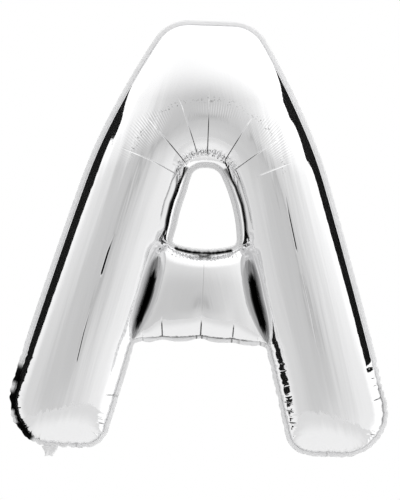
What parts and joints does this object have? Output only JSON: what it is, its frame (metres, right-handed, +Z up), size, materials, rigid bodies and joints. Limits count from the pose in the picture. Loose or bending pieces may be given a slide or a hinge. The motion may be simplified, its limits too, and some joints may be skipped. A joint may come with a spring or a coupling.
{
  "type": "letter foil balloon",
  "caption": "Air-filled silver foil balloon shaped as a capital letter A, with sealed edges, an open counter and an inflation neck at one foot.",
  "frame": {"origin": "the middle of the air the balloon displaces, on its plane of symmetry and in the plane of its seals", "axes": "+Z up the letter, -Y out of its front film, +X to the reader's right"},
  "size_m": [0.7608, 0.1854, 0.88],
  "materials": {
    "foil": "mirror, metallised polyester film with fine pressure wrinkles",
    "sealed_foil": "bright, heat-sealed double film, slightly rippled",
    "neck_film": "bright, flat double film"
  },
  "bodies": {
    "root": {"front_film": "foil", "back_film": "foil", "outer_seal": "sealed_foil", "counter_seal": "sealed_foil", "inflation_neck": "neck_film"}
  },
  "joints": []
}
